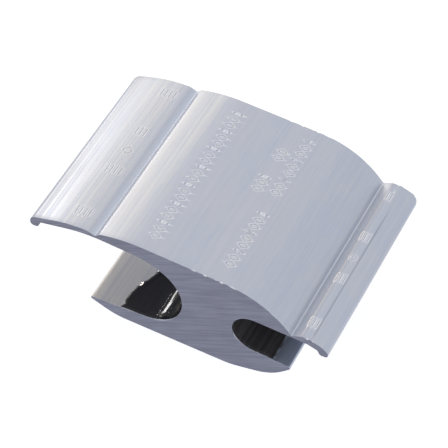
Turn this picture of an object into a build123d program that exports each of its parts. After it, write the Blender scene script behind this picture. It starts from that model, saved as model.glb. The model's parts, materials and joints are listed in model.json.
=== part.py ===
"""Compression tap connector for two parallel overhead conductors, one extruded aluminium body.

The section is drawn in the XZ plane and run along Y.  The large conductor lies in the main
groove, open towards -X, and the small one in the tap groove, open towards +X.  Over the grooves
is a domed cap whose two edge tabs hang on thin necks, so that they fold round the conductors
when the connector is pressed.  Both grooves are coated with a film of jointing compound.

Frame: X across the section, Y along the conductors, Z up.  The body rests on its flat base,
and the origin is under the middle of its bounding box, on the base.
"""

from build123d import *
import os
from math import cos, radians, sin, tan

# Driving dimensions, in millimetres and degrees.
length = 59.0                 # of the extrusion, along the conductors

# Grooves and the metal round them.
axis_spacing = 33.0           # main groove axis to tap groove axis
main_radius = 11.85           # closed end of the main groove
tap_radius = 6.45             # closed end of the tap groove
base_wall = 4.9               # metal under the main groove
cap_wall = 5.65               # metal over the main groove
main_floor_fall = 3.3         # slope of the main jaw's face, down towards its tip
tap_floor_fall = 3.0          # slope of the tap jaw's face, down towards its tip
tap_roof_fall = 1.0           # slope of the tap groove's roof, down towards its mouth
main_roof_angle = 62.0        # where the round of the main groove gives way to its roof
roof_bend_run = 1.3           # main groove axis to the bend in its roof
roof_bend_rise = 0.85         # that bend above the top of the round
roof_bend_round = 18.0

# Main tab, from its notch out to its turned-down lip.
left_reach = 34.1             # main groove axis to the tab's tip
main_notch_offset = 14.25     # main groove axis to the notch
main_roof_rise = 1.7          # underside of the neck above the top of the groove's round
neck_wall = 0.85              # metal left under each notch, where a tab folds
notch_root = 0.25             # root of the main notch, drawn sharp, below its rounded bottom
tab_bend_run = 3.3            # notch to the bend of the tab's underside
tab_bend_round = 36.0
main_tab_fall = 3.5           # inside corner of the lip below the neck
main_lip_drop = 2.3           # foot of the lip below its inside corner
main_lip_lean = 0.8           # inside face of the lip leans out by this
tip_rise = 0.8                # outer corner of the tab above the inside corner of the lip
tip_round = 2.2
arch_run = 8.2                # notch to the crest of the tab's arched top
arch_rise = 1.35              # that crest above the neck's underside
arch_round = 32.0
tab_shoulder_run = 2.1        # notch to the tab's shoulder
tab_shoulder_rise = 1.45      # that shoulder above the neck's underside
crown_shoulder_run = 1.4      # notch to the crown's shoulder
crown_shoulder_rise = 1.35    # that shoulder above the notch's root
shoulder_round = 0.9
notch_round = 0.4             # root of either notch

# Crown of the cap.
crown_left_run = 6.4          # main groove axis to the crown's left corner
crown_right_run = 2.3         # tap groove axis to the crown's right corner
crown_fall = 0.95             # right corner below the left one
crown_left_round = 38.0
crown_right_round = 25.0

# Tap tab, from its notch out to its turned-down lip.
right_reach = 21.1            # tap groove axis to the tab's tip
tap_notch_offset = 10.5       # tap groove axis to the notch
tap_notch_rise = 0.5          # root of the notch, drawn sharp, above the top of the groove's round
tap_bend_run = 3.6            # notch to the bend of the tab's underside
tap_bend_round = 6.0
tap_tab_fall = 1.25           # inside corner of the lip below the top of the groove's round
tap_lip_drop = 1.45           # foot of the lip below its inside corner
tap_lip_lean = 0.6            # inside face of the lip leans in by this
ridge_start_run = 2.8         # notch to the near side of the tab's flat-topped ridge
ridge_width = 2.5
ridge_rise = 1.35             # near side of the ridge above the notch's root
ridge_slope_rise = 0.15       # far side of the ridge above its near side
ridge_round = 1.6
brow_inset = 1.6              # tip to the brow, where the top turns down
brow_rise = 0.15              # brow above the notch's root
brow_round = 2.0
nose_fall = 1.3               # nose, at the tip, below the notch's root
nose_round = 1.2

# Lips of both tabs.
lip_width = 2.35
lip_round = 1.05              # both rounds at the foot of a lip
lip_root_round = 0.8          # inside corner of a lip

# Lower jaws.
main_jaw_reach = 16.2         # main groove axis to the jaw's tip
tap_jaw_reach = 11.1          # tap groove axis to the jaw's tip
face_overrun = 0.2            # a jaw's face, drawn sharp, runs on past its axis distance by this
main_jaw_edge = 0.88          # thickness at the main jaw's tip
tap_jaw_edge = 0.82           # thickness at the tap jaw's tip
jaw_edge_round = 0.42
tap_chin_round = 0.8          # lower round of the tap jaw's tip
tap_bow_run = 5.4             # tip of the tap jaw to the corner of its bowed underside
tap_bow_rise = 3.05           # that corner above the base
tap_bow_round = 15.0
main_heel_run = 8.6           # main groove axis to the left end of the flat base
tap_heel_run = 6.4            # tap groove axis to the right end of the flat base
heel_round = 16.0

run_share = 0.98              # most of a straight line that the roundings at its ends may take

# Jointing compound.
film = 0.5                    # thickness
film_setback = 0.2            # to each end face
main_film_run = 7.6           # out along the main jaw's face
tap_film_run = 4.6            # out along both faces of the tap groove

# Places that follow from them.
overall_width = left_reach + axis_spacing + right_reach
main_x = left_reach - overall_width / 2
tap_x = main_x + axis_spacing
axis_z = base_wall + main_radius
main_top_z = axis_z + main_radius
tap_top_z = axis_z + tap_radius
crown_z = main_top_z + cap_wall
neck_z = main_top_z + main_roof_rise

main_floor_angle = main_floor_fall - 90
tap_floor_angle = 270 - tap_floor_fall
tap_roof_angle = 90 - tap_roof_fall
main_floor_heading = 180 + main_floor_fall
tap_floor_heading = -tap_floor_fall
tap_roof_heading = -tap_roof_fall


def on_circle(x, radius, angle):
    """Point at an angle on a circle of the given radius round a groove's axis."""
    return (x + radius * cos(radians(angle)), axis_z + radius * sin(radians(angle)))


def along(point, heading, run):
    """Point of the section reached from another by a run in a heading."""
    x, z = tuple(point)[:2]
    return (x + run * cos(radians(heading)), z + run * sin(radians(heading)))


def rounded_run(start, corners, end):
    """Straight lines from start to end through corners, each an (x, z, rounding radius).

    A rounding takes up a stretch of the lines on both sides of its corner.  Where two stretches
    are too long for the line between them, the longer one gives way, and so does its radius.
    """
    points = [Vector(*start)] + [Vector(x, z) for x, z, _ in corners] + [Vector(*end)]
    runs = [after - before for before, after in zip(points, points[1:])]
    half_turns = [tan(radians(run.get_angle(after) / 2)) for run, after in zip(runs, runs[1:])]
    stretches = [0.0] + [rounding * half for (_, _, rounding), half in zip(corners, half_turns)] + [0.0]
    for index, run in enumerate(runs):
        excess = stretches[index] + stretches[index + 1] - run_share * run.length
        if excess > 0:
            longer = index if stretches[index] > stretches[index + 1] else index + 1
            stretches[longer] -= excess
    roundings = [stretch / half for stretch, half in zip(stretches[1:-1], half_turns)]
    return FilletPolyline(*points, radius=roundings)


def groove_wall(x, radius, start_angle, end_angle):
    """Round stretch of a groove's wall, or of the compound's face on it."""
    return CenterArc((x, axis_z), radius, start_angle, end_angle - start_angle)


# Ends of the grooves' rounds, and of the straight faces that carry on from them.
main_floor_start = on_circle(main_x, main_radius, main_floor_angle)
main_roof_start = on_circle(main_x, main_radius, main_roof_angle)
tap_floor_start = on_circle(tap_x, tap_radius, tap_floor_angle)
tap_roof_start = on_circle(tap_x, tap_radius, tap_roof_angle)
main_jaw_lip = along(main_floor_start, main_floor_heading, main_jaw_reach + face_overrun)
tap_jaw_lip = along(tap_floor_start, tap_floor_heading, tap_jaw_reach + face_overrun)
tap_roof_end = along(tap_roof_start, tap_roof_heading, tap_notch_offset + tap_bend_run)

# Corners of the main tab, inwards from its lip.
main_tip_x = main_x - left_reach
main_notch_x = main_x - main_notch_offset
main_notch_z = neck_z + neck_wall - notch_root
main_lip_root_z = neck_z - main_tab_fall
main_lip_foot_z = main_lip_root_z - main_lip_drop
main_lip_x = main_tip_x + lip_width

# Corners of the tap tab.
tap_tip_x = tap_x + right_reach
tap_notch_x = tap_x + tap_notch_offset
tap_notch_z = tap_top_z + tap_notch_rise
tap_lip_root_z = tap_top_z - tap_tab_fall
tap_lip_foot_z = tap_lip_root_z - tap_lip_drop
tap_lip_x = tap_tip_x - lip_width
ridge_x = tap_notch_x + ridge_start_run
ridge_z = tap_notch_z + ridge_rise

# The cap's outline, from the main groove's roof over the crown to the tap groove's roof.
main_tab_corners = [
    (main_x + roof_bend_run, main_top_z + roof_bend_rise, roof_bend_round),
    (main_notch_x - tab_bend_run, neck_z, tab_bend_round),
    (main_lip_x + main_lip_lean, main_lip_root_z, lip_root_round),
    (main_lip_x, main_lip_foot_z, lip_round),
    (main_tip_x, main_lip_foot_z, lip_round),
    (main_tip_x, main_lip_root_z + tip_rise, tip_round),
    (main_notch_x - arch_run, neck_z + arch_rise, arch_round),
    (main_notch_x - tab_shoulder_run, neck_z + tab_shoulder_rise, shoulder_round),
    (main_notch_x, main_notch_z, notch_round),
]
crown_corners = [
    (main_notch_x + crown_shoulder_run, main_notch_z + crown_shoulder_rise, shoulder_round),
    (main_x - crown_left_run, crown_z, crown_left_round),
    (tap_x + crown_right_run, crown_z - crown_fall, crown_right_round),
]
tap_tab_corners = [
    (tap_notch_x, tap_notch_z, notch_round),
    (ridge_x, ridge_z, ridge_round),
    (ridge_x + ridge_width, ridge_z + ridge_slope_rise, ridge_round),
    (tap_tip_x - brow_inset, tap_notch_z + brow_rise, brow_round),
    (tap_tip_x, tap_notch_z - nose_fall, nose_round),
    (tap_tip_x, tap_lip_foot_z, lip_round),
    (tap_lip_x, tap_lip_foot_z, lip_round),
    (tap_lip_x - tap_lip_lean, tap_lip_root_z, lip_root_round),
    (*tap_roof_end, tap_bend_round),
]

# The outline of the lower jaws, from the tap groove's floor under the base to the main groove's.
jaw_corners = [
    (*tap_jaw_lip, jaw_edge_round),
    (tap_x + tap_jaw_reach, tap_jaw_lip[1] - tap_jaw_edge, tap_chin_round),
    (tap_x + tap_jaw_reach - tap_bow_run, tap_bow_rise, tap_bow_round),
    (tap_x - tap_heel_run, 0.0, heel_round),
    (main_x - main_heel_run, 0.0, heel_round),
    (main_x - main_jaw_reach, main_jaw_lip[1] - main_jaw_edge, jaw_edge_round),
    (*main_jaw_lip, jaw_edge_round),
]

# Clamp body: one extrusion with square ends.
with BuildPart() as clamp_body:
    with BuildSketch(Plane.XZ) as section:
        with BuildLine():
            groove_wall(main_x, main_radius, main_floor_angle, main_roof_angle)
            rounded_run(main_roof_start, main_tab_corners + crown_corners + tap_tab_corners, tap_roof_start)
            groove_wall(tap_x, tap_radius, tap_roof_angle, tap_floor_angle)
            rounded_run(tap_floor_start, jaw_corners, main_floor_start)
        make_face()
    extrude(amount=length / 2, both=True)
clamp_body.part.label = "clamp_body"

film_length = length - 2 * film_setback

# Compound in the main groove: round the closed end, and out along the jaw's face.
with BuildPart() as main_groove_compound:
    with BuildSketch(Plane.XZ):
        with BuildLine():
            wall = groove_wall(main_x, main_radius, main_floor_angle, main_roof_angle)
            face = groove_wall(main_x, main_radius - film, main_floor_angle, main_roof_angle)
            Line(wall @ 1, face @ 1)
            Polyline(
                wall @ 0,
                along(wall @ 0, main_floor_heading, main_film_run),
                along(face @ 0, main_floor_heading, main_film_run),
                face @ 0,
            )
        make_face()
    extrude(amount=film_length / 2, both=True)
main_groove_compound.part.label = "main_groove_compound"

# Compound in the tap groove: round the closed end, and out along the roof and the floor.
with BuildPart() as tap_groove_compound:
    with BuildSketch(Plane.XZ):
        with BuildLine():
            wall = groove_wall(tap_x, tap_radius, tap_roof_angle, tap_floor_angle)
            face = groove_wall(tap_x, tap_radius - film, tap_roof_angle, tap_floor_angle)
            Polyline(
                wall @ 0,
                along(wall @ 0, tap_roof_heading, tap_film_run),
                along(face @ 0, tap_roof_heading, tap_film_run),
                face @ 0,
            )
            Polyline(
                wall @ 1,
                along(wall @ 1, tap_floor_heading, tap_film_run),
                along(face @ 1, tap_floor_heading, tap_film_run),
                face @ 1,
            )
        make_face()
    extrude(amount=film_length / 2, both=True)
tap_groove_compound.part.label = "tap_groove_compound"

os.makedirs("parts", exist_ok=True)
for piece in (clamp_body.part, main_groove_compound.part, tap_groove_compound.part):
    export_step(piece, f"parts/{piece.label}.step")
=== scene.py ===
"""Looks of a two-groove compression tap connector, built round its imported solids.

The connector is one aluminium extrusion whose two grooves are coated with black jointing
compound.  The body's skin is one surface carried along the section's own edge, with broken
corners, stamped marks and a scored line, and each coat of compound is a surface laid on the
groove's wall.  Everything is in metres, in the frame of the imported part: X across the section,
Y along the conductors, Z up.
"""

from __future__ import annotations

import json
import logging
import math
from dataclasses import dataclass, field
from enum import Enum

import bpy
import numpy as np
from mathutils import Matrix, Vector

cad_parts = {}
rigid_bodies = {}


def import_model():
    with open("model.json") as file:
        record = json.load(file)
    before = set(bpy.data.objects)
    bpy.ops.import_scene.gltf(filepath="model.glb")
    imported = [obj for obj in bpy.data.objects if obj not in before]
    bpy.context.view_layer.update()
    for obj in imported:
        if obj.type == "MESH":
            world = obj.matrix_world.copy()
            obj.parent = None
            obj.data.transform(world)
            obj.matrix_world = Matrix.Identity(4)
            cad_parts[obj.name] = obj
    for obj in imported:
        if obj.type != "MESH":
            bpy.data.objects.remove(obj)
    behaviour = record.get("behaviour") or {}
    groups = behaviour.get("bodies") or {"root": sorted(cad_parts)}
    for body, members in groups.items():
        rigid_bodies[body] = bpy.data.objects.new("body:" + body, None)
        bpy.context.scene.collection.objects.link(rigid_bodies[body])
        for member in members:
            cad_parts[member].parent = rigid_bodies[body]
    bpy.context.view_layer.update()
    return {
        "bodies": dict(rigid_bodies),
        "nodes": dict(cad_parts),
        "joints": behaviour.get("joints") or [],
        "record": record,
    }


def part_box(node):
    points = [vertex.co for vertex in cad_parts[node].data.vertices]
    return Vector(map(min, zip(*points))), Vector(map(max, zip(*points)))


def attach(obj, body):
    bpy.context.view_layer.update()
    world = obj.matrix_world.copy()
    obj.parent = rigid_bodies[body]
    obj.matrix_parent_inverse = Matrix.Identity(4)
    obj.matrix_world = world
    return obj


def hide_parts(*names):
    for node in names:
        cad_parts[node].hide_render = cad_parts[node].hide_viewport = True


LOG = logging.getLogger("tap_connector")
MM = 0.001
SEED = 20


# ------------------------------------------------------------------------------ small numerics


def ease(value: np.ndarray, start: float, end: float) -> np.ndarray:
    """Rise from 0 at start to 1 at end along the cubic 3t^2 - 2t^3.

    Args:
        value: Where to read the curve.
        start: Value at which the rise begins.
        end: Value at which it is complete; it may be below start, for a fall.

    Returns:
        The curve at each value, from 0 to 1.
    """
    t = np.clip((value - start) / (end - start), 0.0, 1.0)
    return t * t * (3.0 - 2.0 * t)


@dataclass
class Ripple:
    """Smooth wandering of a surface: a sum of cosine waves with seeded directions and phases.

    height(u, v) = sum of cos(a_i u + b_i v + c_i) / sqrt(count), about 1 in size.
    """

    seed: int
    waves_u: tuple[float, float]
    waves_v: tuple[float, float]
    count: int = 12

    def height(self, u: np.ndarray, v: np.ndarray) -> np.ndarray:
        """Height of the ripple on broadcast coordinates.

        Args:
            u: First coordinate, in metres.
            v: Second coordinate, in metres.

        Returns:
            The ripple at each pair, about 1 in size.
        """
        rng = np.random.default_rng(self.seed)
        low_u, high_u = self.waves_u
        low_v, high_v = self.waves_v
        turn_u = 2.0 * np.pi / rng.uniform(low_u, high_u, self.count)
        turn_u = turn_u * rng.choice([-1.0, 1.0], self.count)
        turn_v = 2.0 * np.pi / rng.uniform(low_v, high_v, self.count)
        phase = rng.uniform(0.0, 2.0 * np.pi, self.count)
        waves = np.cos(u[..., None] * turn_u + v[..., None] * turn_v + phase)
        return waves.sum(axis=-1) / math.sqrt(self.count)


def unit(vectors: np.ndarray) -> np.ndarray:
    """Rows of vectors, each brought to length 1."""
    return vectors / np.linalg.norm(vectors, axis=1, keepdims=True)


def sampled(where: np.ndarray, known: np.ndarray, values: np.ndarray) -> np.ndarray:
    """Read rows of values between the places where they are known.

    Args:
        where: Places to read at.
        known: Increasing places of the given rows.
        values: One row per known place.

    Returns:
        One row per place read.
    """
    return np.stack([np.interp(where, known, column) for column in values.T], axis=1)


def lifted(points: np.ndarray, normals: np.ndarray, y: np.ndarray, height: np.ndarray) -> np.ndarray:
    """Sweep a line of the section along Y and raise it along its normals.

    P(u, v) = (x(u) + nx(u) * height(u, v), y(u, v), z(u) + nz(u) * height(u, v)).

    Args:
        points: X and Z of the line, one row per column of the grid.
        normals: The line's unit normals.
        y: Y over the grid, or one value per row of it.
        height: Height along the normals over the grid.

    Returns:
        The grid of points, of shape (rows, columns, 3).
    """
    skin = np.empty((*height.shape, 3))
    skin[..., 0] = points[:, 0] + normals[:, 0] * height
    skin[..., 1] = y
    skin[..., 2] = points[:, 1] + normals[:, 1] * height
    return skin


def grid_object(name: str, points: np.ndarray, closed_u: bool, caps: bool) -> bpy.types.Object:
    """Make a mesh object from a grid of points.

    Args:
        name: Name of the object.
        points: Array of shape (rows, columns, 3).
        closed_u: Whether the last column joins the first.
        caps: Whether the first and last rows are closed by one flat face each.

    Returns:
        The object, linked into the scene, with smooth sides and flat caps.
    """
    rows, columns = points.shape[:2]
    index = np.arange(rows * columns).reshape(rows, columns)
    across = np.roll(index, -1, axis=1) if closed_u else index[:, 1:]
    start = index if closed_u else index[:, :-1]
    quads = np.stack([start[:-1], across[:-1], across[1:], start[1:]], axis=-1).reshape(-1, 4)
    loops = quads.ravel()
    totals = np.full(len(quads), 4)
    if caps:
        loops = np.concatenate([loops, index[0, ::-1], index[-1]])
        totals = np.concatenate([totals, [columns, columns]])
    mesh = bpy.data.meshes.new(name)
    mesh.vertices.add(rows * columns)
    mesh.vertices.foreach_set("co", points.astype(np.float32).ravel())
    mesh.loops.add(len(loops))
    mesh.loops.foreach_set("vertex_index", loops.astype(np.int32))
    mesh.polygons.add(len(totals))
    mesh.polygons.foreach_set("loop_start", (np.cumsum(totals) - totals).astype(np.int32))
    mesh.polygons.foreach_set("use_smooth", totals == 4)
    mesh.update(calc_edges=True)
    mesh.validate()
    made = bpy.data.objects.new(name, mesh)
    bpy.context.scene.collection.objects.link(made)
    return made


def set_point_values(piece: bpy.types.Object, name: str, values: np.ndarray) -> None:
    """Store one number per vertex for the materials to read.

    Args:
        piece: Object whose mesh gets the attribute.
        name: Name of the attribute.
        values: One value per vertex, in the mesh's order.
    """
    attribute = piece.data.attributes.new(name, "FLOAT", "POINT")
    attribute.data.foreach_set("value", values.astype(np.float32).ravel())


# ------------------------------------------------------------------------------ section outline


@dataclass
class Outline:
    """The closed edge of the section in the XZ plane, walked with the metal on its left."""

    points: np.ndarray
    step: float = 0.08 * MM
    passes: int = 170
    widest_chord: float = 1.9 * MM

    @classmethod
    def of_solid(cls, solid: bpy.types.Object) -> Outline:
        """Read the edge of the solid's near end face and round off its chords.

        The end face's triangles give directed edges; those without a reverse bound the face.
        Their order round the loop comes from list ranking: each pass doubles the number of
        steps that every corner looks ahead.

        Args:
            solid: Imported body, whose end faces are square to Y.

        Returns:
            The outline, evenly stepped.
        """
        mesh = solid.data
        mesh.calc_loop_triangles()
        places = np.empty(len(mesh.vertices) * 3, np.float32)
        mesh.vertices.foreach_get("co", places)
        triangles = np.empty(len(mesh.loop_triangles) * 3, np.int32)
        mesh.loop_triangles.foreach_get("vertices", triangles)
        welded, place = np.unique(places.reshape(-1, 3).round(7), axis=0, return_inverse=True)
        faces = place.ravel()[triangles].reshape(-1, 3)
        on_end = welded[:, 1] < welded[:, 1].min() + 1e-6
        faces = faces[on_end[faces].all(axis=1)]
        tail = faces.ravel()
        head = np.roll(faces, -1, axis=1).ravel()
        count = len(welded)
        bound = ~np.isin(tail * count + head, head * count + tail)
        tail, head = tail[bound], head[bound]

        ahead = np.arange(count)
        ahead[tail] = head
        first = tail[0]
        ahead[first] = first
        steps = np.zeros(count, int)
        steps[tail] = 1
        steps[first] = 0
        for _ in range(int(np.ceil(np.log2(len(tail)))) + 1):
            steps += steps[ahead]
            ahead = ahead[ahead]
        order = tail[np.argsort((len(tail) - steps[tail]) % len(tail))]
        loop = welded[order][:, [0, 2]].astype(float)
        return cls(cls.rounded(loop))

    @classmethod
    def rounded(cls, loop: np.ndarray) -> np.ndarray:
        """Step evenly along a loop of chords and let heat flow turn the chords into curves.

        The flow at each place has a spread of about half the shorter chord beside it, so small
        rounds stay sharp and long arcs lose their facets.

        Args:
            loop: Corners of the closed loop.

        Returns:
            The rounded loop.
        """
        chords = np.linalg.norm(np.roll(loop, -1, axis=0) - loop, axis=1)
        along = np.concatenate([[0.0], np.cumsum(chords)])
        shorter = np.minimum(chords, np.roll(chords, 1))
        count = int(round(along[-1] / cls.step))
        wanted = np.linspace(0.0, along[-1], count, endpoint=False)
        points = sampled(wanted, along, np.vstack([loop, loop[:1]]))
        chord = np.interp(wanted, along, np.append(shorter, shorter[0]))
        spread = 0.5 * np.minimum(chord, cls.widest_chord)
        flow = np.minimum(spread**2 / (2.0 * cls.passes * cls.step**2), 0.45)[:, None]
        for _ in range(cls.passes):
            beside = np.roll(points, 1, axis=0) + np.roll(points, -1, axis=0)
            points = points + flow * (beside - 2.0 * points)
        return points

    @property
    def normals(self) -> np.ndarray:
        """Unit normals of the points, out of the metal."""
        tangent = np.roll(self.points, -1, axis=0) - np.roll(self.points, 1, axis=0)
        return unit(np.stack([tangent[:, 1], -tangent[:, 0]], axis=1))

    @property
    def bends(self) -> np.ndarray:
        """Turning of the outline at each point, in radians per metre."""
        normal = self.normals
        turn = np.roll(normal, -1, axis=0) - np.roll(normal, 1, axis=0)
        return np.linalg.norm(turn, axis=1) / (2.0 * self.step)

    def nearest(self, x: float, z: float) -> int:
        """Index of the point nearest to a place in the section."""
        return int(np.argmin(np.hypot(self.points[:, 0] - x, self.points[:, 1] - z)))

    def thinned(self, spacing: np.ndarray) -> tuple[np.ndarray, np.ndarray]:
        """Choose points at a spacing that varies along the outline.

        Args:
            spacing: Wanted distance between columns at each point.

        Returns:
            The chosen points and their normals.
        """
        share = np.concatenate([[0.0], np.cumsum(self.step / spacing)])
        count = int(np.ceil(share[-1]))
        wanted = np.linspace(0.0, share[-1], count, endpoint=False)
        ring = np.arange(len(self.points) + 1)
        where = np.interp(wanted, share, ring)
        points, normals = (
            sampled(where, ring, np.vstack([values, values[:1]])) for values in (self.points, self.normals)
        )
        return points, unit(normals)


# ------------------------------------------------------------------------------ shader groups


class Tone(Enum):
    """Named colours of the finishes and of painted light and shade, linear red, green and blue."""

    ALUMINIUM = (0.490, 0.515, 0.590)
    ALUMINIUM_COOL = (0.405, 0.455, 0.575)
    ALUMINIUM_WARM = (0.530, 0.535, 0.580)
    # Painted warm light on the main jaw's face.
    BRUSHED = (0.700, 0.675, 0.645)
    # Base of the end faces, darker partly from the saw's matt finish and partly as painted shade.
    SAWN = (0.262, 0.277, 0.362)
    SAWN_DARK = (0.185, 0.195, 0.265)
    # Bare rubbed metal at worn edges, brightened further as a painted highlight on edges, burrs and a
    # notch.
    BRIGHT_EDGE = (0.88, 0.89, 0.92)
    # Painted cool light on the tap jaw's face and in the notches.
    SLID = (0.58, 0.64, 0.78)
    # Painted shade in stamp furrows and on shaded bands; also the colour of specks on the end faces.
    STAMP_SHADE = (0.27, 0.285, 0.34)
    COMPOUND = (0.044, 0.040, 0.042)
    COMPOUND_GREY = (0.095, 0.095, 0.103)
    # Painted shade on the directly lit stretch where the paste is drawn out.
    COMPOUND_DEEP = (0.013, 0.014, 0.018)
    # Metal grit in the paste, laid where it sparkles, partly a painted highlight.
    GRIT = (0.95, 0.94, 0.92)
    WET_GLEAM = (0.66, 0.80, 1.0)
    STAGE = (0.86, 0.86, 0.87)


class NodeSheet:
    """A node tree being drawn: makes nodes, sets their sockets and links them."""

    def __init__(self, tree: bpy.types.NodeTree) -> None:
        """Keep the tree to draw in."""
        self.tree = tree

    def add(self, kind: str, **settings: object) -> bpy.types.Node:
        """Add a node and set its properties.

        Args:
            kind: Blender's name of the node type.
            **settings: Properties of the node.

        Returns:
            The node.
        """
        node = self.tree.nodes.new(kind)
        for key, value in settings.items():
            setattr(node, key, value)
        return node

    def put(self, socket: bpy.types.NodeSocket, value: object) -> None:
        """Give a socket a link, a number or a colour.

        Args:
            socket: Input to fill.
            value: Another node's output, a number, a vector or a Tone.
        """
        if isinstance(value, bpy.types.NodeSocket):
            self.tree.links.new(value, socket)
        elif isinstance(value, Tone):
            socket.default_value = (*value.value, 1.0)
        else:
            socket.default_value = value

    def maths(
        self, operation: str, first: object, second: object, clamp: bool = False
    ) -> bpy.types.NodeSocket:
        """Combine two values.

        Args:
            operation: Name of the Math node's operation.
            first: First value or output.
            second: Second value or output.
            clamp: Whether the result stays between 0 and 1.

        Returns:
            The result's output.
        """
        node = self.add("ShaderNodeMath", operation=operation, use_clamp=clamp)
        self.put(node.inputs[0], first)
        self.put(node.inputs[1], second)
        return node.outputs[0]

    def times(self, first: object, second: object, clamp: bool = False) -> bpy.types.NodeSocket:
        """Multiply two values; with clamp, the product stays between 0 and 1."""
        return self.maths("MULTIPLY", first, second, clamp)

    def layered(self, base: Tone, layers: tuple[tuple[object, Tone], ...]) -> bpy.types.NodeSocket:
        """Lay colours over a base, one after another.

        Args:
            base: Colour underneath.
            layers: Share, 0 to 1, and colour of each layer, the lowest first.

        Returns:
            The colour's output.
        """
        colour = base
        for share, tone in layers:
            node = self.add("ShaderNodeMix", data_type="RGBA")
            self.put(node.inputs["Factor"], share)
            self.put(node.inputs[6], colour)
            self.put(node.inputs[7], tone)
            colour = node.outputs[2]
        return colour

    def remap(
        self, value: object, low: float, high: float, to_low: float = 0.0, to_high: float = 1.0
    ) -> bpy.types.NodeSocket:
        """Stretch a range of values to another, smoothly and clamped at its ends."""
        node = self.add("ShaderNodeMapRange", interpolation_type="SMOOTHSTEP")
        self.put(node.inputs["Value"], value)
        self.put(node.inputs["From Min"], low)
        self.put(node.inputs["From Max"], high)
        self.put(node.inputs["To Min"], to_low)
        self.put(node.inputs["To Max"], to_high)
        return node.outputs["Result"]

    def stored(self, name: str) -> bpy.types.NodeSocket:
        """The number stored per vertex under a name."""
        return self.add("ShaderNodeAttribute", attribute_name=name).outputs["Fac"]

    def seen(self) -> bpy.types.NodeSocket:
        """1 for rays that see or mirror a surface, 0 for rays that gather its light."""
        path = self.add("ShaderNodeLightPath")
        seen = self.maths("MAXIMUM", path.outputs["Is Camera Ray"], path.outputs["Is Glossy Ray"])
        return self.maths("MAXIMUM", seen, path.outputs["Is Transmission Ray"])

    def object_place(self, scale: tuple[float, float, float], turn_y: float = 0.0) -> bpy.types.NodeSocket:
        """Object coordinates, turned about Y and then stretched.

        Args:
            scale: Stretch along X, Y and Z.
            turn_y: Turn about the Y axis before the stretch, in radians.

        Returns:
            The vector's output.
        """
        place = self.add("ShaderNodeTexCoord").outputs["Object"]
        if turn_y:
            turned = self.add("ShaderNodeVectorRotate", rotation_type="Y_AXIS")
            self.put(turned.inputs["Vector"], place)
            turned.inputs["Angle"].default_value = turn_y
            place = turned.outputs["Vector"]
        stretched = self.add("ShaderNodeMapping")
        self.put(stretched.inputs["Vector"], place)
        stretched.inputs["Scale"].default_value = scale
        return stretched.outputs["Vector"]

    def noise(self, place: object, scale: object, detail: float, rough: float) -> bpy.types.NodeSocket:
        """Fractal noise at a place, from 0 to 1."""
        node = self.add("ShaderNodeTexNoise")
        self.put(node.inputs["Vector"], place)
        self.put(node.inputs["Scale"], scale)
        node.inputs["Detail"].default_value = detail
        node.inputs["Roughness"].default_value = rough
        return node.outputs["Fac"]


@dataclass(frozen=True)
class GroupPlan:
    """A shader node group's name and its named inputs and outputs."""

    name: str
    inputs: tuple[tuple[str, float], ...]
    outputs: tuple[str, ...]

    def start(self) -> tuple[bpy.types.NodeTree, NodeSheet, bpy.types.Node, bpy.types.Node]:
        """Make the empty group with its sockets.

        Returns:
            The tree, a sheet to draw on, the input node and the output node.
        """
        tree = bpy.data.node_groups.new(self.name, "ShaderNodeTree")
        for name, default in self.inputs:
            socket = tree.interface.new_socket(name, in_out="INPUT", socket_type="NodeSocketFloat")
            socket.default_value = default
        for name in self.outputs:
            tree.interface.new_socket(name, in_out="OUTPUT", socket_type="NodeSocketFloat")
        sheet = NodeSheet(tree)
        return tree, sheet, sheet.add("NodeGroupInput"), sheet.add("NodeGroupOutput")


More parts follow.
